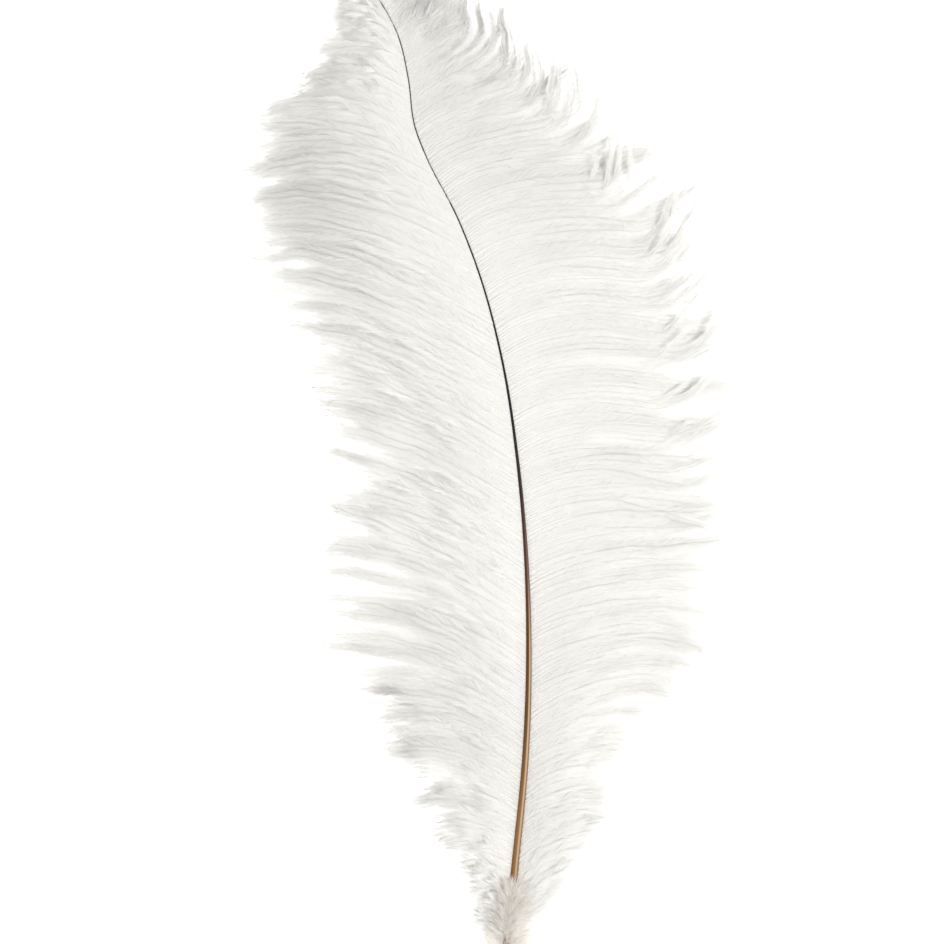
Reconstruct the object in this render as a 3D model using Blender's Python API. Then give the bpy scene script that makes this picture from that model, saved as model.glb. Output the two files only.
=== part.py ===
"""An ostrich plume that lies on its flat underside: a shaft, two vanes and the down at its foot.

Metres, +Z up, +Y from the cut end of the quill towards the tip. The origin is on the surface that
the plume lies on, under the middle of its box. The vanes and the down are closed pads with the
outline of the soft barbs that they stand for.
"""

import bmesh
import bpy
import numpy as np

# ---- driving dimensions -------------------------------------------------------------------------
GAP = 0.0003
SHAFT_POINTS = 64

VANE_FOOT = 0.062
VANE_HEAD = 0.452
VANE_ROWS = 48
VANE_COLUMNS = 6
VANE_EDGE_THICKNESS = 0.0025
VANE_DOME_POWER = 1.2

TUFT_ALONG = 0.033
TUFT_HALF_LENGTH = 0.024
TUFT_HALF_WIDTH = 0.017
TUFT_HEIGHT = 0.0085

SHARP_ANGLE = np.radians(40)

# The shaft's route seen from above, from the cut end to the tip, with the sharp bend that it has
# about a fifth of the way down from the tip.
ROUTE = np.array([
    (0.0129, -0.2206), (0.0151, -0.2012), (0.0187, -0.1668), (0.0228, -0.1238),
    (0.0243, -0.0808), (0.0232, -0.0378), (0.0194, 0.0052), (0.0127, 0.0482),
    (0.0037, 0.0826), (-0.0062, 0.1084), (-0.0194, 0.1342), (-0.0243, 0.1471),
    (-0.0273, 0.1686), (-0.0314, 0.1858), (-0.0404, 0.2030), (-0.0575, 0.2245),
])
ROUTE_LENGTHS = np.append(0, np.cumsum(np.linalg.norm(np.diff(ROUTE, axis=0), axis=1)))

# Height of the shaft's middle above the surface: (length along the shaft, height).
ARCH = np.array([(0, 0.0018), (0.060, 0.0026), (0.150, 0.0060), (0.260, 0.0090),
                 (0.360, 0.0080), (0.440, 0.0062), (0.463, 0.0056)])

# Radius of the shaft: (length along the shaft, radius). It thins fastest in the middle.
TAPER = np.array([(0, 0.00165), (0.060, 0.00158), (0.150, 0.00118), (0.215, 0.00076),
                  (0.260, 0.00052), (0.340, 0.00030), (0.463, 0.00022)])
QUILL_RADIUS = TAPER[0, 1]

# The barbs of each vane: (length along the shaft, barb length, heading at the shaft, halfway and
# at the tip). Headings are in degrees, counted from +X towards +Y.
LEFT_BARBS = np.array([
    (0.062, 0.037, 146, 163, 196), (0.090, 0.058, 142, 161, 190), (0.120, 0.083, 143, 159, 181),
    (0.165, 0.083, 145, 155, 175), (0.215, 0.082, 147, 155, 174), (0.262, 0.096, 149, 155, 178),
    (0.290, 0.101, 150, 158, 185), (0.305, 0.096, 151, 161, 188), (0.335, 0.086, 151, 165, 190),
    (0.362, 0.073, 147, 168, 190), (0.385, 0.051, 143, 166, 188), (0.410, 0.031, 140, 165, 184),
    (0.430, 0.021, 138, 158, 172), (0.452, 0.013, 134, 146, 155),
])
RIGHT_BARBS = np.array([
    (0.062, 0.036, 42, 20, -10), (0.090, 0.045, 40, 17, -12), (0.120, 0.067, 37, 15, -16),
    (0.165, 0.080, 33, 7, -12), (0.215, 0.086, 33, 0, 0), (0.262, 0.092, 35, 0, 20),
    (0.305, 0.089, 38, 3, 35), (0.335, 0.080, 40, 8, 50), (0.362, 0.069, 41, 18, 65),
    (0.385, 0.054, 43, 34, 80), (0.410, 0.036, 47, 60, 94), (0.430, 0.025, 55, 75, 102),
    (0.452, 0.014, 75, 95, 110),
])
BARB_STEPS = 60


# ---- curves -------------------------------------------------------------------------------------
def smooth(where, knots, values):
    """Values at `where` on the smooth curve through (knots, values): a cubic in each span, whose
    slope at a knot is the average slope around it."""
    slopes = np.gradient(values, knots, axis=0)
    where = np.clip(where, knots[0], knots[-1])
    span = np.clip(np.searchsorted(knots, where, side="right") - 1, 0, len(knots) - 2)
    width = knots[span + 1] - knots[span]
    f = (where - knots[span]) / width
    if values.ndim > 1:
        width = width[:, None]
        f = f[:, None]
    start = (1 + 2 * f) * (1 - f) ** 2 * values[span] + f * (1 - f) ** 2 * width * slopes[span]
    end = f * f * (3 - 2 * f) * values[span + 1] - f * f * (1 - f) * width * slopes[span + 1]
    return start + end


def shaft_points(along):
    """The shaft's middle line, as points (x, y, z), at lengths `along` from the cut end."""
    flat = smooth(along, ROUTE_LENGTHS, ROUTE)
    height = smooth(along, ARCH[:, 0], ARCH[:, 1])
    return np.column_stack([flat, height])


def shaft_radius(along):
    return smooth(along, TAPER[:, 0], TAPER[:, 1])


def shaft_side(along, side):
    """Unit vectors square to the shaft, in plan: side -1 is the left vane's and 1 the right's."""
    step = 0.001
    ahead = smooth(along + step, ROUTE_LENGTHS, ROUTE) - smooth(along - step, ROUTE_LENGTHS, ROUTE)
    ahead /= np.linalg.norm(ahead, axis=1)[:, None]
    return side * np.column_stack([ahead[:, 1], -ahead[:, 0]])


# ---- objects ------------------------------------------------------------------------------------
def clear_scene():
    for old in list(bpy.data.objects):
        bpy.data.objects.remove(old, do_unlink=True)


def finish(name, colour, roughness):
    material = bpy.data.materials.new(name)
    material.use_nodes = True
    shader = material.node_tree.nodes["Principled BSDF"]
    shader.inputs["Base Color"].default_value = (*colour, 1)
    shader.inputs["Roughness"].default_value = roughness
    material.diffuse_color = (*colour, 1)
    return material


def add_object(name, data, material):
    made = bpy.data.objects.new(name, data)
    made.data.materials.append(material)
    bpy.context.collection.objects.link(made)
    return made


def make_shaft(material):
    """A tapering round rod along the shaft's route, with flat ends."""
    along = np.linspace(0, ROUTE_LENGTHS[-1], SHAFT_POINTS)
    curve = bpy.data.curves.new("shaft", "CURVE")
    curve.dimensions = "3D"
    curve.bevel_depth = QUILL_RADIUS
    curve.bevel_resolution = 3
    curve.use_fill_caps = True
    spline = curve.splines.new("POLY")
    spline.points.add(SHAFT_POINTS - 1)
    for point, place, radius in zip(spline.points, shaft_points(along), shaft_radius(along)):
        point.co = (*place, 1)
        point.radius = radius / QUILL_RADIUS
    return add_object("shaft", curve, material)


def barb_rows(barbs, side):
    """The vane in plan, as an array of points [row, column, xy]. Each row is one barb: its heading
    is the parabola through the three listed angles, and its path is the running sum of the steps
    it takes in that heading."""
    along = np.linspace(VANE_FOOT, VANE_HEAD, VANE_ROWS)
    shape = smooth(along, barbs[:, 0], barbs[:, 1:])
    reach, first, middle, last = shape.T[:, :, None]
    r = (np.arange(BARB_STEPS) + 0.5) / BARB_STEPS
    heading = (first * (1 - r) * (1 - 2 * r) + middle * 4 * r * (1 - r) + last * r * (2 * r - 1))
    heading = np.radians(heading)
    steps = np.stack([np.cos(heading), np.sin(heading)], axis=2) * reach[:, :, None] / BARB_STEPS
    path = np.concatenate([np.zeros((VANE_ROWS, 1, 2)), np.cumsum(steps, axis=1)], axis=1)
    columns = np.linspace(0, BARB_STEPS, VANE_COLUMNS + 1).astype(int)
    clear = (shaft_radius(along) + GAP)[:, None] * shaft_side(along, side)
    root = shaft_points(along)[:, :2] + clear
    return root[:, None, :] + path[:, columns, :]


def vane_thickness():
    """Thickness [row, column]: from the height of the shaft at its side, down to a thin edge."""
    along = np.linspace(VANE_FOOT, VANE_HEAD, VANE_ROWS)
    crest = smooth(along, ARCH[:, 0], ARCH[:, 1])[:, None]
    share = np.linspace(0, 1, VANE_COLUMNS + 1)[None, :]
    return VANE_EDGE_THICKNESS + (crest - VANE_EDGE_THICKNESS) * (1 - share) ** VANE_DOME_POWER


def make_vane(name, barbs, side, material):
    """A sheet of quads in plan, extruded up, whose upper points then rise to the thickness."""
    rows = barb_rows(barbs, side)
    mesh = bmesh.new()
    thickness = mesh.verts.layers.float.new("thickness")
    grid = []
    for row, heights in zip(rows, vane_thickness()):
        line = [mesh.verts.new((x, y, 0)) for x, y in row]
        for vert, height in zip(line, heights):
            vert[thickness] = height
        grid.append(line)
    for lower, upper in zip(grid, grid[1:]):
        for a, b, c, d in zip(lower, lower[1:], upper[1:], upper):
            mesh.faces.new((a, b, c, d))
    raised = bmesh.ops.extrude_face_region(mesh, geom=mesh.faces[:])["geom"]
    for vert in raised:
        if isinstance(vert, bmesh.types.BMVert):
            vert.co.z = vert[thickness]
    bmesh.ops.recalc_face_normals(mesh, faces=mesh.faces[:])
    data = bpy.data.meshes.new(name)
    mesh.to_mesh(data)
    mesh.free()
    data.shade_smooth()
    data.set_sharp_from_angle(angle=SHARP_ANGLE)
    return add_object(name, data, material)


def make_quill_slot(centre, turn):
    """The straight slot that the quill lies in, open below, as a cutter."""
    mesh = bmesh.new()
    bmesh.ops.create_cube(mesh, size=2)
    half_width = QUILL_RADIUS + GAP
    top = centre[2] + QUILL_RADIUS + 2 * GAP
    bmesh.ops.scale(mesh, vec=(half_width, 2 * TUFT_HALF_LENGTH, top), verts=mesh.verts[:])
    data = bpy.data.meshes.new("quill_slot")
    mesh.to_mesh(data)
    mesh.free()
    slot = bpy.data.objects.new("quill_slot", data)
    bpy.context.collection.objects.link(slot)
    slot.location = (centre[0], centre[1], 0)
    slot.rotation_euler.z = turn
    slot.hide_render = True
    slot.display_type = "WIRE"
    return slot


def make_down_tuft(material):
    """A low dome, flat below, that sits astride the quill where the vanes begin."""
    along = np.array([TUFT_ALONG])
    centre = shaft_points(along)[0]
    sideways = shaft_side(along, 1)[0]
    turn = np.arctan2(sideways[1], sideways[0])
    mesh = bmesh.new()
    bmesh.ops.create_uvsphere(mesh, u_segments=28, v_segments=14, radius=1)
    bmesh.ops.scale(mesh, vec=(TUFT_HALF_WIDTH, TUFT_HALF_LENGTH, TUFT_HEIGHT), verts=mesh.verts[:])
    whole = mesh.verts[:] + mesh.edges[:] + mesh.faces[:]
    bmesh.ops.bisect_plane(mesh, geom=whole, plane_co=(0, 0, 0), plane_no=(0, 0, -1),
                           clear_outer=True)
    rim = [edge for edge in mesh.edges if edge.is_boundary]
    bmesh.ops.contextual_create(mesh, geom=rim)
    bmesh.ops.recalc_face_normals(mesh, faces=mesh.faces[:])
    data = bpy.data.meshes.new("down_tuft")
    mesh.to_mesh(data)
    mesh.free()
    data.shade_smooth()
    data.set_sharp_from_angle(angle=SHARP_ANGLE)
    down = add_object("down_tuft", data, material)
    down.location = (centre[0], centre[1], 0)
    down.rotation_euler.z = turn
    cut = down.modifiers.new("quill slot", "BOOLEAN")
    cut.operation = "DIFFERENCE"
    cut.object = make_quill_slot(centre, turn)
    return down


def centre_on_origin(objects):
    """Moves everything in plan so that the middle of the plume's box is at the origin."""
    bpy.context.view_layer.update()
    graph = bpy.context.evaluated_depsgraph_get()
    points = []
    for piece in objects:
        if not piece.hide_render:
            shape = piece.evaluated_get(graph)
            points += [piece.matrix_world @ vertex.co for vertex in shape.to_mesh().vertices]
            shape.to_mesh_clear()
    points = np.array(points)
    middle = (points.min(axis=0) + points.max(axis=0)) / 2
    for piece in objects:
        piece.location.x -= middle[0]
        piece.location.y -= middle[1]


def main():
    clear_scene()
    horn = finish("horn", (0.13, 0.06, 0.025), 0.35)
    white = finish("white barbs", (0.90, 0.89, 0.86), 0.8)
    cream = finish("cream down", (0.72, 0.65, 0.57), 0.9)
    make_shaft(horn)
    make_vane("left_vane", LEFT_BARBS, -1, white)
    make_vane("right_vane", RIGHT_BARBS, 1, white)
    make_down_tuft(cream)
    centre_on_origin(list(bpy.data.objects))


main()
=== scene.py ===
# %% [markdown]
# # A white ostrich plume
#
# An ostrich plume is one brown horny shaft that carries several hundred soft barbs on each side.
# Each barb carries its own fringe of finer threads, the barbules, with no hooks to hold them
# together, and that is why the plume is fluffy. We model it as it grows: the shaft is a swept
# surface, each barb is a thin rib, and each barbule is one small folded blade on a rib.
#
# Blender has hair curves and particles for this. We write plain meshes instead, because every
# blade is then real geometry that any other program can read, and numpy makes all of them at once.

import bpy
import numpy as np
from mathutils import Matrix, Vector


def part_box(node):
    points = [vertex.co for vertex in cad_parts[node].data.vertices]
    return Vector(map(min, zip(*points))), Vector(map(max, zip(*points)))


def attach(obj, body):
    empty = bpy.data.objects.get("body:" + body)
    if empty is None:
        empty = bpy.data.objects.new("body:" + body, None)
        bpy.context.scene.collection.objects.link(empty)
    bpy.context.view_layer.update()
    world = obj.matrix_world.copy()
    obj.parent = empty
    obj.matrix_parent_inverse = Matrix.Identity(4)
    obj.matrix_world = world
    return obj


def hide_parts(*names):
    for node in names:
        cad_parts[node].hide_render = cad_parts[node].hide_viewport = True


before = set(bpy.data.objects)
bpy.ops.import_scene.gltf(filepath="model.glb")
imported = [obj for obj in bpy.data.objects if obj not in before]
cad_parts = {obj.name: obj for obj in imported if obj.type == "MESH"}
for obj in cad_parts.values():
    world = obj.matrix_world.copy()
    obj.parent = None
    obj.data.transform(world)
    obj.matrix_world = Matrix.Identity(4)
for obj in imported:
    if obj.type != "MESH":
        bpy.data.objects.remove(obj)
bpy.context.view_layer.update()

MM = 0.001
draws = np.random.default_rng(20)

# %% [markdown]
# ## Smooth curves from a few knots
#
# Nearly everything on a feather changes slowly along its length: the bend of the shaft, the length
# of the barbs, the way they lean. So we write each of these down at a few places only and let a
# smooth curve fill in the rest.


# %% Smooth curves
def smooth(where, knots, values):
    """The curve through (knots, values), read at `where`. Each span is the cubic
    (1+2f)(1-f)^2 a + f(1-f)^2 w A + f^2(3-2f) b - f^2(1-f) w B, with end values a and b, slopes A
    and B, width w and share f of the span; a knot's slope is the average slope around it."""
    knots, values = np.asarray(knots, float), np.asarray(values, float)
    slopes = np.gradient(values, knots, axis=0)
    where = np.clip(where, knots[0], knots[-1])
    span = np.clip(np.searchsorted(knots, where, side="right") - 1, 0, len(knots) - 2)
    width = knots[span + 1] - knots[span]
    f = (where - knots[span]) / width
    if values.ndim > 1:
        width, f = width[:, None], f[:, None]
    start = (1 + 2 * f) * (1 - f) ** 2 * values[span] + f * (1 - f) ** 2 * width * slopes[span]
    end = f * f * (3 - 2 * f) * values[span + 1] - f * f * (1 - f) * width * slopes[span + 1]
    return start + end


def step(low, high, x):
    """0 below `low`, 1 above `high`, and the S-curve t^2 (3 - 2t) between them."""
    t = np.clip((x - low) / (high - low), 0, 1)
    return t * t * (3 - 2 * t)


def unit(vectors):
    """Each vector divided by its own length."""
    return vectors / np.linalg.norm(vectors, axis=-1, keepdims=True)


print("the S-curve at a quarter, a half and three quarters:", step(0, 1, np.array([0.25, 0.5, 0.75])))

# %% [markdown]
# ## Where the shaft runs
#
# The shaft is a long S with one sharp bend near the tip. We list the points that this shape needs,
# from the cut end to the tip, as seen from above. The list has its own origin, so we slide it to
# where the frame's shaft is: the middle of its box is the middle of our box. The shaft arches off
# the surface by a few millimetres, and it thins fastest in its middle third.

# %% The route of the shaft
ROUTE = MM * np.array([
    (12.9, -220.6), (15.1, -201.2), (18.7, -166.8), (22.8, -123.8), (24.3, -80.8), (23.2, -37.8),
    (19.4, 5.2), (12.7, 48.2), (3.7, 82.6), (-6.2, 108.4), (-19.4, 134.2), (-24.3, 147.1),
    (-27.3, 168.6), (-31.4, 185.8), (-40.4, 203.0), (-57.5, 224.5),
])
ROUTE_AT = np.append(0, np.cumsum(np.linalg.norm(np.diff(ROUTE, axis=0), axis=1)))
SHAFT_LENGTH = ROUTE_AT[-1]

# Height of the shaft's middle, and its half-width, against length along it.
ARCH = MM * np.array([
    (0, 1.8), (60, 2.6), (150, 6.0), (260, 9.0), (360, 8.0), (440, 6.2), (463, 5.6),
])
HALF_WIDTH = MM * np.array([
    (0, 1.65), (60, 1.58), (150, 1.18), (215, 0.76), (260, 0.52), (340, 0.30), (463, 0.22),
])

shaft_low, shaft_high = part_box("shaft")
route_line = smooth(np.linspace(0, SHAFT_LENGTH, 400), ROUTE_AT, ROUTE)
route_middle = (route_line.min(axis=0) + route_line.max(axis=0)) / 2
SHIFT = np.array((shaft_low + shaft_high) / 2)[:2] - route_middle
print("shaft length, mm:", round(SHAFT_LENGTH / MM), " shift, mm:", (SHIFT / MM).round(2))


# %% Reading the shaft
def shaft_line(along):
    """The shaft's middle line as points (x, y, z): the smooth curve through the route, slid by the
    shift, at the height of the smooth curve through the arch."""
    flat = smooth(along, ROUTE_AT, ROUTE) + SHIFT
    return np.column_stack([flat, smooth(along, ARCH[:, 0], ARCH[:, 1])])


def shaft_half_width(along):
    """Half the shaft's width, on the smooth curve through its listed half-widths."""
    return smooth(along, HALF_WIDTH[:, 0], HALF_WIDTH[:, 1])


def shaft_frame(along, nudge=0.5 * MM):
    """Three unit vectors at each place: ahead, from the point a nudge before to the point a nudge
    after; right, ahead x (0, 0, 1); and right x ahead, which is square to both."""
    along = np.clip(along, nudge, SHAFT_LENGTH - nudge)
    ahead = unit(shaft_line(along + nudge) - shaft_line(along - nudge))
    right = unit(np.cross(ahead, (0, 0, 1)))
    return ahead, right, np.cross(right, ahead)


print("shaft height at its ends and middle, mm:",
      (shaft_line(np.array([0, 0.5, 1]) * SHAFT_LENGTH)[:, 2] / MM).round(1))

# %% [markdown]
# ## Turning arrays into meshes
#
# numpy hands over whole arrays of points, triangles and UV corners, and `foreach_set` copies them
# into the mesh in one go. A Python loop over a million corners would take minutes. Every piece then
# rides on the frame's body and hides the solid of the frame that it stands for.


# %% Meshes and pieces
def new_piece(name, points, triangles, uv, material, node, slot):
    """A mesh object at the origin from points (n, 3), triangles (m, 3) and one UV pair per point,
    which stands for one solid of the frame."""
    mesh = bpy.data.meshes.new(name)
    mesh.vertices.add(len(points))
    mesh.vertices.foreach_set("co", np.ascontiguousarray(points, np.float32).ravel())
    mesh.loops.add(triangles.size)
    mesh.loops.foreach_set("vertex_index", triangles.ravel().astype(np.int32))
    mesh.polygons.add(len(triangles))
    mesh.polygons.foreach_set("loop_start", np.arange(0, triangles.size, 3, dtype=np.int32))
    mesh.update(calc_edges=True)
    layer = mesh.uv_layers.new(name="OFBake")
    layer.data.foreach_set("uv", uv[triangles.ravel()].astype(np.float32).ravel())
    mesh.shade_smooth()
    mesh.materials.append(material)
    piece = bpy.data.objects.new(name, mesh)
    bpy.context.collection.objects.link(piece)
    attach(piece, "root")
    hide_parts(node)
    print(f"{name}: {len(triangles)} triangles")


def tube_triangles(tubes, rings, sides):
    """Triangles of many tubes whose points are numbered tube by tube, ring by ring, with one more
    point at each end that closes it. Each wall square, from ring i to i+1 and from side j to j+1,
    is cut along its diagonal, and every face looks outwards."""
    ring, side = np.meshgrid(np.arange(rings - 1), np.arange(sides), indexing="ij")
    a = ring * sides + side
    b = ring * sides + (side + 1) % sides
    wall = np.stack([a, b + sides, b, a, a + sides, b + sides], axis=-1).reshape(-1, 3)
    around = np.arange(sides)
    after = (around + 1) % sides
    foot, tip = rings * sides, rings * sides + 1
    last = (rings - 1) * sides
    start = np.column_stack([around, after, np.full(sides, foot)])
    end = np.column_stack([last + after, last + around, np.full(sides, tip)])
    one = np.concatenate([wall, start, end])
    return (one[None] + np.arange(tubes)[:, None, None] * (rings * sides + 2)).reshape(-1, 3)


# %% [markdown]
# ## Shader maths
#
# A node tree is hard to read as a list of links, so one small class wraps a socket and lets us
# write `1 - mask * 0.5`. Each operator adds one Math node, and `node` adds any other kind.


# %% Shader maths
class Socket:
    """One output of a node, `out`, in the node tree `tree`."""

    def __init__(self, tree, out):
        self.tree, self.out = tree, out

    def node(self, kind, settings=None, **inputs):
        """Adds a node: `settings` are set first, then each input by its name, with _ for a space,
        or by its number after a _."""
        made = self.tree.nodes.new(kind)
        for key, value in (settings or {}).items():
            setattr(made, key, value)
        for key, value in inputs.items():
            socket = made.inputs[int(key[1:]) if key[0] == "_" else key.replace("_", " ")]
            if isinstance(value, Socket):
                self.tree.links.new(value.out, socket)
            else:
                socket.default_value = value
        return made

    def math(self, operation, left, right):
        """The Math node's `operation` on two values."""
        made = self.node("ShaderNodeMath", {"operation": operation}, _0=left, _1=right)
        return Socket(self.tree, made.outputs[0])

    def __sub__(self, other):
        return self.math("SUBTRACT", self, other)

    def __rsub__(self, other):
        return self.math("SUBTRACT", other, self)

    def __mul__(self, other):
        return self.math("MULTIPLY", self, other)

    __rmul__ = __mul__

    def step(self, low, high):
        """0 below `low`, 1 above `high`, and t^2 (3 - 2t) between them."""
        made = self.node("ShaderNodeMapRange", {"interpolation_type": "SMOOTHSTEP"},
                         Value=self, From_Min=low, From_Max=high)
        return Socket(self.tree, made.outputs[0])

    def mix(self, first, second):
        """The colour `first` where this is 0 and `second` where it is 1."""
        made = self.node("ShaderNodeMix", {"data_type": "RGBA"}, _0=self, _6=first, _7=second)
        return Socket(self.tree, made.outputs[2])

    def ramp(self, stops):
        """The colour at this value on a ramp of (place, colour) stops."""
        made = self.node("ShaderNodeValToRGB", _0=self)
        band = made.color_ramp.elements
        while len(band) < len(stops):
            band.new(0.5)
        for element, (place, colour) in zip(band, stops):
            element.position, element.color = place, (*colour, 1)
        return Socket(self.tree, made.outputs[0])


def new_material(name, roughness, specular=0.5):
    """A material with a Principled shader: the material, the shader, and its UV as two sockets."""
    material = bpy.data.materials.new(name)
    material.use_nodes = True
    tree = material.node_tree
    shader = tree.nodes["Principled BSDF"]
    shader.inputs["Roughness"].default_value = roughness
    shader.inputs["Specular IOR Level"].default_value = specular
    maker = Socket(tree, None)
    uv = maker.node("ShaderNodeUVMap", {"uv_map": "OFBake"})
    parts = maker.node("ShaderNodeSeparateXYZ", _0=Socket(tree, uv.outputs[0]))
    return material, shader, Socket(tree, parts.outputs[0]), Socket(tree, parts.outputs[1])


def linear(red, green, blue):
    """A colour as a screen shows it, 0 to 255, turned into the light values that shaders use: with
    c the share of 255, ((c + 0.055) / 1.055)^2.4, or c / 12.92 where it is very dark."""
    share = np.array([red, green, blue]) / 255
    return tuple(np.where(share < 0.04045, share / 12.92, ((share + 0.055) / 1.055) ** 2.4))


print("a middle grey in light values:", round(float(linear(128, 128, 128)[0]), 3))

# %% [markdown]
# ## The finish of the barbs
#
# Bleached ostrich barbs are white keratin: matt, a little warm, and thin enough for light to come
# through. A Principled shader gives the surface and a Translucent one the light from behind. The
# UV map isn't a picture's layout here. Its u says how far out along the barb a blade sits, and its
# v is the tone of that barb, so the finish can drift from the shaft outwards and from barb to barb.
# A low v also carries painted shade: a grey, and a dark grey for the hollows under the fingers.


# %% Barb finish
def make_barb_finish(name, near_shaft, at_tip, shade, painted_hollow_shade, see_through):
    """White keratin: u carries the colour from `near_shaft` to `at_tip`. A low v leans to a grey for
    low tone and painted shade, and the lowest v to a dark grey, painted shade for the hollows. The
    share
    `see_through` of it is translucent."""
    material, shader, u, v = new_material(name, roughness=0.75, specular=0.25)
    tree = material.node_tree
    body = u.step(0.0, 0.35).mix((*near_shaft, 1), (*at_tip, 1))
    # A low v is painted shade as well as low tone; the lowest v paints the dark hollows under the
    # fingers.
    toned = v.step(0.0, 0.30).mix((*painted_hollow_shade, 1), v.step(0.0, 1.0).mix((*shade, 1), body))
    tree.links.new(toned.out, shader.inputs["Base Color"])
    glow = u.node("ShaderNodeBsdfTranslucent", Color=(*at_tip, 1))
    blend = u.node("ShaderNodeMixShader", _0=see_through, _1=Socket(tree, shader.outputs[0]),
                   _2=Socket(tree, glow.outputs[0]))
    tree.links.new(blend.outputs[0], tree.nodes["Material Output"].inputs[0])
    return material


# In the white barbs the two greys are painted shade: one for shaded outer parts and low tone, the
# darker one for the hollows under the fingers.
white_barbs = make_barb_finish(
    "white_barbs", near_shaft=(0.92, 0.905, 0.875), at_tip=(0.938, 0.933, 0.912),
    shade=(0.82, 0.812, 0.79), painted_hollow_shade=(0.27, 0.265, 0.26), see_through=0.35)
cream_down = make_barb_finish(
    "cream_down", near_shaft=(0.90, 0.86, 0.82), at_tip=(0.92, 0.90, 0.87),
    shade=(0.84, 0.79, 0.74), painted_hollow_shade=(0.80, 0.74, 0.68), see_through=0.60)
print("finishes:", white_barbs.name, cream_down.name)

# %% [markdown]
# ## The lie of the barbs
#
# A barb leaves the shaft at a slant and then follows its own weight: on the left it swings out and
# droops, on the right it levels off and, nearer the tip, curls up into hooks. One row below holds
# all that for one place on the shaft. Every barb between two rows is a smooth blend of them.
#
# The columns are: the place on the shaft and the barb's length, in mm; its heading at four places
# along it, in degrees; its height at three, in mm; how closely a strand's barbs cling together; how
# far a lock strays from the even fan, in degrees; how ragged the lengths are, as a share; how far
# the last stretch hooks round, in degrees; how far it rises there, in degrees; how high the locks
# stand off each other, in mm; how much painted shade greys the outer part; and the tone.

# %% Two tables of barbs
HEADING_AT = (0, 0.30, 0.65, 1)
LEFT_LIE = np.array([
    (20, 13, 128, 138, 155, 170, 3.2, 2.6, 1.6, 0.1, 12, 0.25, 0, 0, 2, 0.3, 0.70),
    (34, 15, 134, 144, 160, 176, 3.4, 2.8, 1.6, 0.1, 12, 0.25, 0, 0, 2, 0.3, 0.70),
    (48, 22, 142, 152, 170, 186, 3.8, 3.0, 1.6, 0.1, 10, 0.20, 0, 0, 2, 0.3, 0.70),
    (62, 38, 146, 153, 172, 192, 4.6, 3.6, 1.4, 0.2, 9, 0.18, 0, 0, 2, 0.6, 0.58),
    (90, 59, 142, 150, 170, 188, 6.0, 4.6, 1.4, 0.2, 8, 0.14, 0, 0, 2, 0.62, 0.48),
    (106, 70, 143, 150, 170, 184, 7.0, 5.2, 1.4, 0.2, 7, 0.14, 0, 0, 2, 0.6, 0.48),
    (116, 83, 143, 150, 168, 182, 7.8, 5.6, 1.4, 0.2, 6, 0.15, 0, 0, 2, 0.45, 0.52),
    (142, 86, 144, 149, 164, 178, 8.6, 6.2, 1.2, 0.2, 6, 0.16, 0, 0, 2, 0.4, 0.70),
    (165, 85, 145, 149, 162, 175, 9.2, 6.6, 1.2, 0.3, 6, 0.18, 0, 0, 2, 0.4, 0.90),
    (215, 85, 147, 150, 160, 174, 10.4, 7.6, 1.2, 0.3, 6, 0.18, 0, 0, 2, 0.4, 0.90),
    (250, 94, 149, 151, 158, 176, 11.4, 9.0, 1.4, 0.4, 6, 0.17, 0, 0, 2, 0.25, 0.92),
    (270, 102, 149, 152, 160, 180, 12.2, 10.4, 1.4, 0.4, 6, 0.15, 0, 0, 2, 0.25, 0.92),
    (284, 102, 150, 153, 162, 183, 12.8, 11.0, 1.2, 0.4, 4, 0.12, 0, 0, 2, 0.52, 0.90),
    (298, 97, 151, 155, 166, 187, 13.4, 11.0, 1.2, 0.3, 3, 0.07, 0, 0, 1.5, 0.58, 0.88),
    (314, 92, 151, 156, 168, 188, 14.0, 11.0, 1.5, 0.2, 3, 0.05, 0, 0, 1.2, 0.58, 0.85),
    (335, 86, 151, 158, 172, 190, 14.0, 10.6, 1.5, 0.2, 3, 0.05, 0, 0, 1.2, 0.5, 0.80),
    (362, 71, 147, 159, 176, 190, 12.6, 9.4, 1.5, 0.4, 4, 0.07, 0, 0, 1.5, 0.4, 0.75),
    (385, 47, 143, 158, 174, 188, 10.8, 8.4, 1.8, 0.5, 5, 0.08, 0, 0, 2, 0.3, 0.70),
    (410, 30, 140, 158, 172, 184, 8.6, 6.8, 2.2, 0.5, 6, 0.12, 0, 0, 2, 0.2, 0.65),
    (430, 20, 138, 152, 165, 172, 6.4, 5.8, 3.0, 0.4, 7, 0.12, 0, 0, 2, 0.2, 0.60),
    (452, 12, 134, 142, 150, 155, 4.8, 4.4, 3.2, 0.3, 8, 0.10, 0, 0, 1, 0.2, 0.55),
    (463, 8, 131, 134, 138, 142, 4.2, 4.0, 3.6, 0.3, 8, 0.10, 0, 0, 1, 0.2, 0.55),
])
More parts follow.
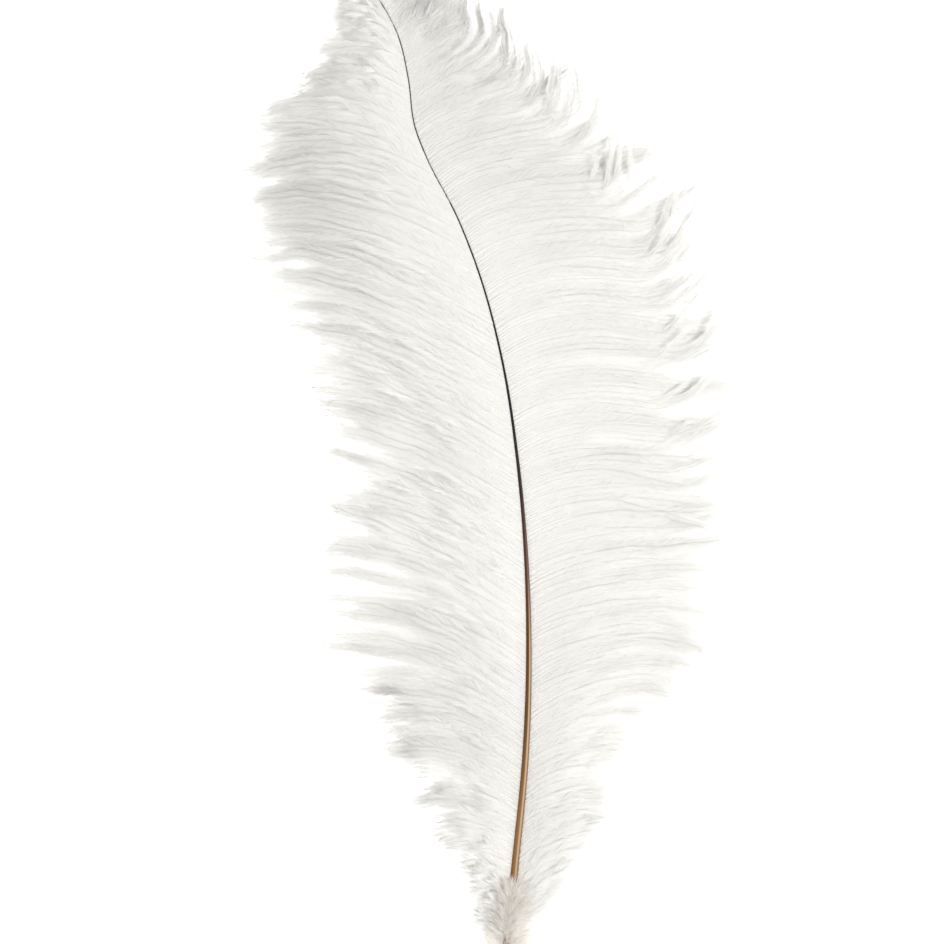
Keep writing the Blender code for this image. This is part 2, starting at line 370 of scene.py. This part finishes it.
RIGHT_LIE = np.array([
    (20, 25, 58, 48, 36, 22, 3.2, 2.8, 1.8, 0.0, 12, 0.20, 0, 0, 1, 0, 0.85),
    (34, 30, 52, 45, 30, 14, 3.4, 3.0, 2.0, 0.0, 12, 0.20, 0, 0, 1, 0, 0.85),
    (48, 35, 47, 38, 22, 2, 3.8, 3.4, 2.0, 0.0, 12, 0.20, 0, 0, 1, 0.2, 0.85),
    (62, 37, 42, 30, 12, -10, 4.8, 4.4, 2.6, 0.0, 10, 0.18, 0, 0, 1, 0.3, 0.85),
    (90, 45, 40, 27, 10, -14, 6.2, 5.8, 3.6, 0.0, 9, 0.18, 0, 0, 1, 0.4, 0.85),
    (118, 65, 37, 24, 8, -20, 7.4, 6.8, 4.4, 0.1, 7, 0.16, 0, 0, 0.5, 0.5, 0.80),
    (140, 75, 35, 19, 3, -22, 8.2, 7.6, 5.0, 0.1, 6, 0.14, 0, 0, 0.4, 0.5, 0.80),
    (165, 79, 33, 16, 0, -18, 8.8, 8.2, 5.6, 0.1, 6, 0.13, 14, 4, 0.4, 0.4, 0.82),
    (215, 87, 33, 10, -10, -8, 9.8, 9.0, 5.4, 0.2, 4, 0.09, 34, 13, 0.4, 0.35, 0.82),
    (262, 97, 35, 9, -10, -2, 10.4, 9.0, 4.6, 0.4, 3, 0.08, 48, 20, 0.6, 0.35, 0.75),
    (305, 97, 38, 10, -6, 2, 10.6, 8.6, 2.8, 0.6, 3, 0.07, 62, 27, 1.2, 0.5, 0.66),
    (335, 93, 40, 12, 2, 10, 10.4, 8.4, 2.4, 0.6, 4, 0.07, 62, 29, 1.2, 0.45, 0.46),
    (362, 79, 41, 18, 14, 24, 10.0, 8.0, 2.4, 0.6, 5, 0.07, 54, 29, 1.2, 0.45, 0.36),
    (385, 56, 42, 28, 34, 50, 9.0, 7.2, 2.6, 0.6, 5, 0.07, 45, 26, 1.2, 0.4, 0.30),
    (410, 36, 46, 40, 56, 74, 7.8, 6.6, 3.0, 0.6, 6, 0.08, 38, 22, 1.2, 0.4, 0.30),
    (430, 24, 55, 56, 72, 86, 6.2, 5.6, 3.6, 0.6, 7, 0.08, 30, 15, 1.2, 0.3, 0.30),
    (452, 13, 75, 88, 100, 110, 4.6, 4.2, 4.0, 0.6, 8, 0.08, 15, 5, 1, 0.3, 0.32),
    (463, 8, 100, 112, 120, 125, 4.0, 4.0, 3.8, 0.5, 8, 0.08, 0, 0, 1, 0.3, 0.35),
])
print("rows, left and right:", len(LEFT_LIE), len(RIGHT_LIE))

# %% [markdown]
# ## Neighbours that keep together
#
# Barbules tangle, so a few barbs at a time draw together into one strand on the way out, and these
# strands lie in broader locks that stray, rise and end together. That gives the ragged points at
# the edge of a real plume. So a random number here is often shared: there is one for each lock, one
# for each strand, and now and then one for the barb alone. The spreads say how much each counts.

# %% Groups of barbs
LOCK_SIZES = (6, 13)            # barbs in a lock, at least and at most
LEAN_SPREADS = (0.10, 0.42)     # of lock and strand, as shares of the stray
CURL_SPREADS = (0.12, 0.34)     # as shares of the hook
LIFT_SPREADS = (0.5, 0.4)       # as shares of the height that locks stand off each other
REACH_SPREADS = (0.12, 0.55)    # as shares of the raggedness
TONE_SPREADS = (0.03, 0.05)


def group(count, smallest, largest):
    """The number of the group that each of `count` neighbours in a row belongs to."""
    sizes = draws.integers(smallest, largest + 1, count)
    return np.repeat(np.arange(count), sizes)[:count]


def by_group(groups, spread):
    """One random number for each group, handed to all of its members."""
    return draws.normal(0, spread, groups.max() + 1)[groups]


def shared(lock, strand, spreads, middle=0):
    """`middle` plus one random number for each lock and one for each strand."""
    return middle + by_group(lock, spreads[0]) + by_group(strand, spreads[1])


def waves(groups, r, low, high):
    """sin(2 pi (n r + p)) along the barb, with n from `low` to `high` and p for each group."""
    periods = draws.uniform(low, high, groups.max() + 1)[groups]
    phase = draws.uniform(0, 1, groups.max() + 1)[groups]
    return np.sin(2 * np.pi * (periods[:, None] * r + phase[:, None]))


def gather(path, groups, strength, start, over):
    """Pulls each path towards the path of the barb in the middle of its group: by `strength` times
    an S-curve that begins at the share `start` of the barb and is `over` long."""
    leader = np.searchsorted(groups, groups) + np.bincount(groups)[groups] // 2
    leader = np.minimum(leader, len(path) - 1)
    pull = strength[:, None] * step(0, over, np.linspace(0, 1, path.shape[1]) - start)
    return path + pull[:, :, None] * (path[leader] - path)


# %% [markdown]
# ## Growing the barbs
#
# A barb's path is the running sum of small steps in its heading, so it bends smoothly and keeps its
# length. Where the barbs of the right vane hook, most strands are fingers: they rise, hook round
# and gather into pointed tufts. The other strands are the body of the vane and stay low and nearly
# straight below them. A few rogues follow nobody and lie across the others.

# %% Barb paths
PATH_POINTS = 41
FINGER_SHARE = 0.7
ROGUE_SHARE = 0.06
LONGEST_REACH = 1.10
LOWEST_PATH, HIGHEST_PATH = 0.5 * MM, 16 * MM


def walk(root, angle, rise, pace, height):
    """Points [barb, place, xyz] from the barbs' roots: in plan the running sum of
    pace cos(rise) (cos angle, sin angle), each step the mean of its two ends, and in height the
    running sum of pace sin(rise) on top of `height`."""
    x, y = np.cos(angle) * pace * np.cos(rise), np.sin(angle) * pace * np.cos(rise)
    path = np.zeros((*angle.shape, 3))
    path[:, 1:, 0] = np.cumsum((x[:, 1:] + x[:, :-1]) / 2, axis=1)
    path[:, 1:, 1] = np.cumsum((y[:, 1:] + y[:, :-1]) / 2, axis=1)
    path[:, :, :2] += root[:, None, :2]
    path[:, :, 2] = height + np.cumsum(pace * np.sin(rise), axis=1)
    return path


def grow_barbs(lie, side, pitch, strands, cling_from, smooth_part):
    """Paths [barb, place, xyz] of one vane's barbs; for each barb its tone, how much painted shade
    greys its outer part, how far its barbules close up there, and the share of it that stays smooth,
    which goes from the first number of `smooth_part` to the second between its last two, in mm
    along the shaft. A barb's heading is the listed one, blended along it, plus its lean times
    r^1.6, a sway times r, and its hook over the stretch from 0.58 to 0.90 of it."""
    first, last = lie[0, 0] * MM, lie[-1, 0] * MM
    count = int((last - first) / pitch)
    along = np.linspace(first, last, count) + draws.normal(0, 0.25 * MM, count)
    row = smooth(along / MM, lie[:, 0], lie[:, 1:])
    length, heading, height = row[:, 0], row[:, 1:5], row[:, 5:8]
    cling, stray, ragged, hook, rise, loft, painted_shade_amount, tone = row[:, 8:].T
    r = np.linspace(0, 1, PATH_POINTS)
    blend = smooth(r, HEADING_AT, np.eye(4))

    # Who belongs together, and who is a finger, a part of the body or a rogue.
    each, lock, strand = np.arange(count), group(count, *LOCK_SIZES), group(count, *strands)
    lower, upper, change_from, change_to = smooth_part
    smooth_share = lower + (upper - lower) * step(change_from, change_to, along / MM)
    cling_from = np.minimum(cling_from, smooth_share - 0.1) + 0.15 * by_group(strand, 1)
    cling_from = np.clip(cling_from, 0, 0.8)[:, None]
    rogue = draws.random(count) < ROGUE_SHARE
    finger = (draws.random(strand.max() + 1) < FINGER_SHARE)[strand]
    hooked = step(5, 45, hook)
    closed, body = hooked * finger, hooked * ~finger
    hook, rise = hook * (1 - 0.75 * body), rise * (1 - 0.9 * body)
    cling, length = cling * (1 - 0.8 * body), length * (1 - 0.06 * body)
    ragged = ragged * (1 + 0.3 * closed)
    # Body strands keep their painted shade, a grey that stands for the shadow of the fingers above
    # them; fingers lose nearly all of it.
    painted_shade_amount = np.clip(painted_shade_amount * (1 - 0.95 * closed) * (1 + by_group(strand, 0.1)), 0, 0.9)

    # How each one turns, rises and ends.
    lean = shared(lock, strand, LEAN_SPREADS) * stray + draws.normal(0, 1.5, count)
    lean += rogue * draws.normal(0, 9, count)
    curl = hook * np.clip(shared(lock, strand, CURL_SPREADS, 1), 0.3, 1.35)
    rise = np.radians(rise[:, None] * step(0.64, 0.90, r))
    lift = loft * shared(lock, strand, LIFT_SPREADS) + 2 * rogue
    reach = 1 + ragged * (shared(lock, strand, REACH_SPREADS) + draws.normal(0, 0.9, count))
    reach = np.minimum(reach, LONGEST_REACH)
    sway = stray[:, None] * (0.25 * waves(each, r, 1, 2.4) + 0.33 * waves(strand, r, 0.8, 2.0))
    crimp = 7 * waves(strand, r, 3, 6) + 4 * waves(each, r, 3, 7)
    sway = sway + crimp * step(0.1, 0.5, r) * (length / 90)[:, None]
    angle = np.radians(heading @ blend.T + lean[:, None] * r ** 1.6 + sway * r
                       + curl[:, None] * step(0.58, 0.90, r))

    # Its walk out from the shaft's flank, and the pull of its strand and its lock.
    _, right, _ = shaft_frame(along)
    from_middle = (side * right * 0.8 + (0, 0, 0.2)) * shaft_half_width(along)[:, None]
    root = shaft_line(along) + from_middle
    height = np.column_stack([root[:, 2] / MM, height]) @ blend.T
    ripple = (0.1 + 0.35 * loft[:, None]) * waves(strand, r, 1, 3.5) * step(0.1, 0.4, r)
    height = (height + lift[:, None] * r ** 1.5 + ripple) * MM
    pace = (length * reach * MM / (PATH_POINTS - 1))[:, None]
    path = walk(root, angle, rise, pace, height)
    path = gather(path, strand, cling * ~rogue, cling_from, 0.6)
    path = gather(path, lock, 0.2 * cling * ~rogue, cling_from, 0.6)
    path = gather(path, lock, 0.2 * closed * ~rogue, 0.74, 0.26)
    path[:, :, 2] = np.clip(path[:, :, 2], LOWEST_PATH, HIGHEST_PATH)
    # Fingers get a lighter tone: painted light on the raised tufts.
    tone = shared(lock, strand, TONE_SPREADS, tone + 0.12 * closed)
    return path, np.clip(tone, 0.2, 0.95), painted_shade_amount, closed, smooth_share


left_barbs = grow_barbs(LEFT_LIE, side=-1, pitch=1.3 * MM, strands=(1, 3), cling_from=0.1,
                        smooth_part=(0.60, 0.42, 225, 275))
right_barbs = grow_barbs(RIGHT_LIE, side=1, pitch=1.15 * MM, strands=(2, 4), cling_from=0.5,
                         smooth_part=(0.60, 0.12, 355, 410))
print("barbs, left and right:", len(left_barbs[0]), len(right_barbs[0]))

# %% [markdown]
# ## Ribs
#
# A barb's rib is a horny thread that thins towards its end. It is a quarter of a millimetre thick
# at most, so a tube of three sides is enough.

# %% Ribs
RIB_RINGS = 16
RIB_SIDES = 3


def tone_with_painted_shade(tone, painted_shade_amount, smooth_share, r):
    """The tone at share `r` of a barb, with painted shade on its outer part: `tone` times
    1 - d * (an S-curve that starts where the smooth part ends and is 0.3 long, less 0.6 of another
    from 0.82 to 1), with d the amount of painted shade, so that the last tips come out of the grey
    again."""
    return tone * (1 - painted_shade_amount * (step(0, 0.3, r - smooth_share) - 0.6 * step(0.82, 1, r)))


def make_ribs(path, tone, painted_shade_amount, smooth_share, thick, thin):
    """Tubes along the paths: points, triangles and UVs. A point is line + radius (right cos t +
    up sin t), and the radius goes evenly from `thick` to `thin`."""
    pick = np.linspace(0, path.shape[1] - 1, RIB_RINGS).round().astype(int)
    line = path[:, pick]
    ahead = unit(np.gradient(line, axis=1))
    right = unit(np.cross(ahead, (0, 0, 1)))
    up = np.cross(right, ahead)
    r = np.linspace(0, 1, RIB_RINGS)
    radius = (thick + (thin - thick) * r)[None, :, None, None]
    t = (np.arange(RIB_SIDES) * 2 * np.pi / RIB_SIDES + np.pi / 2)[None, None, :, None]
    spoke = right[:, :, None] * np.cos(t) + up[:, :, None] * np.sin(t)
    rings = line[:, :, None] + radius * spoke
    count = len(path)
    points = np.concatenate([rings.reshape(count, -1, 3), line[:, :1], line[:, -1:]], axis=1)
    u = np.concatenate([np.repeat(r, RIB_SIDES), [0, 1]])
    offset = np.append(np.tile(np.arange(RIB_SIDES) * 0.004, RIB_RINGS), [0.002, 0.002])
    # v is the barb's tone with painted shade on its outer part.
    v = tone_with_painted_shade(tone[:, None], painted_shade_amount[:, None], smooth_share[:, None], u) + offset
    uv = np.stack([np.broadcast_to(u, (count, len(u))), v], axis=-1)
    return points.reshape(-1, 3), tube_triangles(count, RIB_RINGS, RIB_SIDES), uv.reshape(-1, 2)


# %% [markdown]
# ## Barbules
#
# A barbule is a blade of two triangles that meet along its middle: it starts on the rib, is widest
# halfway and ends in a point. It leaves the rib at a slant, lies a little below it, as the slope of
# a roof does, and sags at its end. Hundreds of thousands of them make the fluff, so two faces each
# is all that we can spend. On a finger they close up towards the rib, and those on its right get
# painted shade, so that each finger has one darker flank.

# %% Barbules
LOWEST_POINT = 0.15 * MM


def read_path(path, barb, r):
    """The point at share `r` of each listed barb's path, straight between its two nearest."""
    place = r * (path.shape[1] - 1)
    low = np.minimum(place.astype(int), path.shape[1] - 2)
    f = (place - low)[:, None]
    return path[barb, low] * (1 - f) + path[barb, low + 1] * f


def make_barbules(path, tone, painted_shade_amount, closed, smooth_share, roof, spacing, longest, width, toss=0):
    """Blades on both sides of every rib: points, triangles and UVs. Away from the shaft they fall
    to both sides of the rib by `roof` degrees; `toss` throws them about. A blade points along
    ahead cos(slant) + sideways sin(slant), where sideways is out cos(fall) - up sin(fall)."""
    arc = np.linalg.norm(np.diff(path, axis=1), axis=2).sum(axis=1)
    each = np.maximum((arc / spacing).astype(int), 4)
    barb = np.repeat(np.arange(len(path)), each)
    order = np.arange(len(barb)) - np.repeat(np.cumsum(each) - each, each)
    r = (order + draws.uniform(0, 1, len(barb))) / each[barb]
    side = np.where(order % 2, 1.0, -1.0)[:, None]
    foot = read_path(path, barb, r)
    before, after = r - 0.02 * (r > 0.02), np.minimum(r + 0.02, 1)
    ahead = unit(read_path(path, barb, after) - read_path(path, barb, before))
    out = side * unit(np.cross(ahead, (0, 0, 1)))
    up = np.cross(out, ahead) * side

    past_smooth = r - smooth_share[barb]
    shut = closed[barb] * step(0.10, 0.25, past_smooth)
    slant = (34 - 10 * r) * (1 - 0.25 * shut) + 14 * toss + draws.normal(0, 6 + 8 * toss, len(r))
    fall = 4 + roof * step(0.15, 0.6, r) + draws.normal(0, 9 + 40 * toss, len(r))
    slant, fall = np.radians(slant)[:, None], np.radians(fall)[:, None]
    size = longest * (0.45 + 0.55 * step(0, 0.3, r)) * (1 - 0.3 * step(0.7, 1, r))
    size = (size * (1 - 0.28 * shut) * draws.uniform(0.7, 1.15, len(r)))[:, None]
    sideways = out * np.cos(fall) - up * np.sin(fall)
    along = ahead * np.cos(slant) + sideways * np.sin(slant)
    across = unit(np.cross(along, np.cross(ahead, sideways)))
    middle = foot + along * size * 0.5
    tip = foot + unit(along + 0.25 * ahead - 0.10 * up) * size
    half = width / 2 * draws.uniform(0.8, 1.2, len(r))[:, None]
    blade = np.stack([foot, middle + across * half, tip, middle - across * half], axis=1)
    points = blade.reshape(-1, 3)
    points[:, 2] = np.maximum(points[:, 2], LOWEST_POINT)

    # The corners go round so that both triangles look up, on either side of the rib.
    corners = np.where(side > 0, (0, 3, 1, 1, 3, 2), (0, 1, 3, 1, 2, 3))
    triangles = (np.arange(len(r))[:, None] * 4 + corners).reshape(-1, 3)
    # The tone carries painted shade on the barb's outer part.
    shade = tone_with_painted_shade(tone[barb], painted_shade_amount[barb], smooth_share[barb], r) + draws.normal(0, 0.04, len(r))
    # Painted shade: the barbules on a finger's right flank are darkened.
    painted_flank_shade = closed[barb] * step(0.0, 0.15, past_smooth) * (side[:, 0] > 0)
    shade = np.clip(shade * (1 - 0.5 * painted_flank_shade), 0.02, 0.97)
    u = np.clip(r, 0, 0.96)[:, None] + np.array([0, 0.015, 0.03, 0.015])
    v = shade[:, None] + np.array([0, 0.008, 0, -0.008])
    return points, triangles, np.stack([u, v], axis=-1).reshape(-1, 2)


def join(*meshes):
    """Several (points, triangles, uv) as one: each mesh's triangles count on from the points of
    those before it."""
    starts = np.cumsum([0] + [len(points) for points, _, _ in meshes[:-1]])
    return (np.concatenate([points for points, _, _ in meshes]),
            np.concatenate([triangles + start
                            for (_, triangles, _), start in zip(meshes, starts)]),
            np.concatenate([uv for _, _, uv in meshes]))


# %% [markdown]
# ## The two vanes
#
# Each vane is cut into three stretches so that no mesh grows too heavy. The cuts run between two
# barbs and can't be seen. The barbules of the left vane fall away more steeply than those of the
# right.

# %% The vanes
RIB_THICK, RIB_THIN = 0.12 * MM, 0.04 * MM
STRETCHES = ("lower", "middle", "upper")
BARBULE_SPACING = 0.115 * MM
BARBULE_LENGTH = 7.0 * MM
BARBULE_WIDTH = 0.17 * MM


def make_vane(side_name, barbs, roof, node):
    """Ribs and barbules of one vane's barbs as three pieces, cut where the running length of barb
    reaches a third and two thirds of the whole."""
    arc = np.cumsum(np.linalg.norm(np.diff(barbs[0], axis=1), axis=2).sum(axis=1))
    stretch = np.minimum((len(STRETCHES) * arc / arc[-1]).astype(int), len(STRETCHES) - 1)
    for number, where in enumerate(STRETCHES):
        path, tone, painted_shade_amount, closed, smooth_share = [values[stretch == number] for values in barbs]
        ribs = make_ribs(path, tone, painted_shade_amount, smooth_share, RIB_THICK, RIB_THIN)
        blades = make_barbules(path, tone, painted_shade_amount, closed, smooth_share, roof,
                               BARBULE_SPACING, BARBULE_LENGTH, BARBULE_WIDTH)
        name = f"{side_name}_barbs_{where}"
        new_piece(name, *join(ribs, blades), white_barbs, node, "white_barbs")


make_vane("left", left_barbs, roof=11, node="left_vane")
make_vane("right", right_barbs, roof=5, node="right_vane")

# %% [markdown]
# ## The down at the foot
#
# Below the vanes the quill carries short barbs with long, weak barbules. They stand out all round
# it and cover it from in front. They are made as the vanes are, from paths, ribs and barbules, but
# with the barbules thrown about, so that no order shows.

# %% The down tuft
TUFT_BARBS = 96
TUFT_ARCH = 2.2 * MM
TUFT_LOWEST = 0.6 * MM


def grow_down():
    """Short barbs [barb, place, xyz] from all round the quill. A barb sets off along
    ahead + bend (0.5 + r) right. Those on top rise by a half wave of the sine, and those at the
    sides sink by up to 0.6 of their height."""
    around = np.radians(90 + draws.normal(0, 55, TUFT_BARBS))
    beside, above = np.cos(around), np.clip(np.sin(around), 0, 1)
    along = (draws.uniform(2, 34, TUFT_BARBS) * (1 - 0.45 * above) + 18 * above) * MM
    ahead, right, up = shaft_frame(along)
    from_middle = right * beside[:, None] + up * above[:, None]
    root = shaft_line(along) + from_middle * shaft_half_width(along)[:, None]
    length = draws.uniform(6, 12, TUFT_BARBS) * MM
    r = np.linspace(0, 1, PATH_POINTS)
    bend = beside * draws.uniform(0.3, 1.0, TUFT_BARBS) + draws.normal(0, 0.2, TUFT_BARBS)
    way = unit(ahead[:, None] + right[:, None] * bend[:, None, None] * (0.5 + r[:, None]))
    path = root[:, None] + way * r[:, None] * length[:, None, None]
    half_wave = np.sin(np.pi * np.linspace(0, 0.85, PATH_POINTS))
    path[:, :, 2] += TUFT_ARCH * above[:, None] * half_wave
    path[:, :, 2] -= path[:, :, 2] * 0.6 * (1 - above[:, None]) * r
    path[:, :, 2] = np.maximum(path[:, :, 2], TUFT_LOWEST)
    return path


down_paths = grow_down()
down_tone = np.clip(draws.normal(0.80, 0.02, TUFT_BARBS), 0.05, 0.95)
none = np.zeros(TUFT_BARBS)
down_ribs = make_ribs(down_paths, down_tone, none, none, thick=0.08 * MM, thin=0.04 * MM)
down_blades = make_barbules(down_paths, down_tone, none, none, none, roof=11,
                            spacing=0.06 * MM, longest=6.5 * MM, width=0.14 * MM, toss=1)
new_piece("down_at_the_foot", *join(down_ribs, down_blades), cream_down, "down_tuft", "cream_down")

# %% [markdown]
# ## The shaft
#
# The shaft is horn, near black in the middle, reddish and then tan towards the quill. Its colour is
# darker on the left flank and paler on the right. Its section is a rounded ridge. Three ramps along
# the shaft give its left flank, the stripe right of its middle and its right edge, and u picks
# between them. They end in the same near black, because the upper half is one dark thread.


# %% Shaft surface
def make_shaft(rings=240, sides=20):
    """A section carried along the route: points, triangles and UVs. At angle t the section is a
    circle whose top is drawn up into a blunt ridge: radius h (1 + 0.10 max(0, sin t)^4). The UV is
    0.5 + 0.5 cos t, which goes from the left flank to the right one, and the share of the length."""
    along = np.linspace(0, SHAFT_LENGTH, rings)
    _, right, up = shaft_frame(along)
    t = (np.arange(sides) * 2 * np.pi / sides - np.pi / 2)[:, None]
    ridge = 1 + 0.10 * np.maximum(0, np.sin(t)) ** 4
    spoke = right[:, None] * np.cos(t) + up[:, None] * np.sin(t)
    half = shaft_half_width(along)[:, None, None]
    ring = shaft_line(along)[:, None] + spoke * half * ridge
    points = np.concatenate([ring.reshape(-1, 3), shaft_line(along[[0, -1]])])
    u = np.tile(0.5 + 0.5 * np.cos(t[:, 0]), rings)
    v = np.repeat(along / SHAFT_LENGTH, sides)
    uv = np.column_stack([np.append(u, [0.5, 0.5]), np.append(v, [0, 1])])
    return points, tube_triangles(1, rings, sides), uv


# %% Horn finish
DARK_TIP = (1.00, linear(26, 24, 20))
FLANK = [(0.00, linear(128, 92, 52)), (0.16, linear(138, 98, 54)), (0.24, linear(104, 70, 32)),
         (0.33, linear(86, 54, 18)), (0.40, linear(74, 44, 20)), (0.46, linear(42, 28, 16)),
         (0.54, linear(12, 9, 5)), DARK_TIP]
STRIPE = [(0.00, linear(164, 138, 108)), (0.22, linear(176, 150, 120)),
          (0.32, linear(172, 144, 114)), (0.385, linear(110, 80, 66)),
          (0.46, linear(48, 34, 26)), (0.54, linear(14, 11, 8)), DARK_TIP]
EDGE = [(0.00, linear(132, 98, 66)), (0.20, linear(128, 96, 68)), (0.30, linear(112, 84, 68)),
        (0.385, linear(98, 72, 62)), (0.46, linear(46, 33, 26)), (0.54, linear(14, 11, 8)),
        DARK_TIP]
LEFT_RIM = linear(70, 46, 24)


def make_horn_finish():
    """Lengthwise bands: a dark left flank that turns golden towards the quill, a tan stripe right
    of the middle that fades out halfway up, a grey-brown right edge, and half a share of a darker
    rim on the left of the quill."""
    material, shader, u, v = new_material("horn", roughness=0.5, specular=0.2)
    flank, stripe, edge = v.ramp(FLANK), v.ramp(STRIPE), v.ramp(EDGE)
    right_part = u.step(0.72, 0.84).mix(stripe, edge)
    colour = u.step(0.50, 0.58).mix(flank, right_part)
    rim = (1 - u.step(0.04, 0.20)) * (1 - v.step(0.22, 0.30)) * 0.5
    colour = rim.mix(colour, (*LEFT_RIM, 1))
    u.tree.links.new(colour.out, shader.inputs["Base Color"])
    return material


new_piece("shaft_horn", *make_shaft(), make_horn_finish(), "shaft", "horn")

# %% [markdown]
# ## Floor, light and camera
#
# The plume lies on a white floor under a soft studio sky with one large lamp to the right, so the
# vane that slopes away from the lamp turns a little grey. The camera looks straight down.


# %% Floor, light and camera
def make_floor(half=4.0):
    """A white square, 2 `half` wide, that gives off a little light so that no shadow is heavy."""
    material, shader, _, _ = new_material("floor", roughness=0.9)
    shader.inputs["Base Color"].default_value = (0.85, 0.85, 0.85, 1)
    shader.inputs["Emission Color"].default_value = (1, 1, 1, 1)
    shader.inputs["Emission Strength"].default_value = 0.35
    mesh = bpy.data.meshes.new("floor")
    corners = [(-half, -half, 0), (half, -half, 0), (half, half, 0), (-half, half, 0)]
    mesh.from_pydata(corners, [], [(0, 1, 2, 3)])
    mesh.materials.append(material)
    floor = bpy.data.objects.new("floor", mesh)
    bpy.context.collection.objects.link(floor)


def make_lamp(name, place, size, power):
    """A round lamp of `size` metres and `power` watts at `place`, turned towards the origin."""
    data = bpy.data.lights.new(name, "AREA")
    data.shape = "DISK"
    data.size = size
    data.energy = power
    lamp = bpy.data.objects.new(name, data)
    lamp.location = place
    lamp.rotation_euler = (-Vector(place)).to_track_quat("-Z", "Y").to_euler()
    bpy.context.collection.objects.link(lamp)


def make_sky(strength):
    """Even white light from all round."""
    world = bpy.data.worlds.new("sky")
    world.use_nodes = True
    world.node_tree.nodes["Background"].inputs[0].default_value = (1, 1, 1, 1)
    world.node_tree.nodes["Background"].inputs[1].default_value = strength
    bpy.context.scene.world = world


def make_camera(view_width, lens=85, sensor=36):
    """A camera straight above the middle of the view. It sees `view_width` on the floor, so it
    stands at the height view_width * lens / sensor."""
    data = bpy.data.cameras.new("camera")
    data.lens, data.sensor_width = lens, sensor
    data.clip_end = 50
    camera = bpy.data.objects.new("camera", data)
    camera.location = (SHIFT[0], SHIFT[1], view_width * lens / sensor)
    bpy.context.collection.objects.link(camera)
    bpy.context.scene.camera = camera
    print("camera height, m:", round(camera.location.z, 3))


make_floor()
make_sky(strength=0.95)
make_lamp("key", (1.25, -0.1, 1.48), size=0.4, power=20.5)
make_camera(view_width=0.406)
bpy.context.scene.view_settings.view_transform = "Standard"
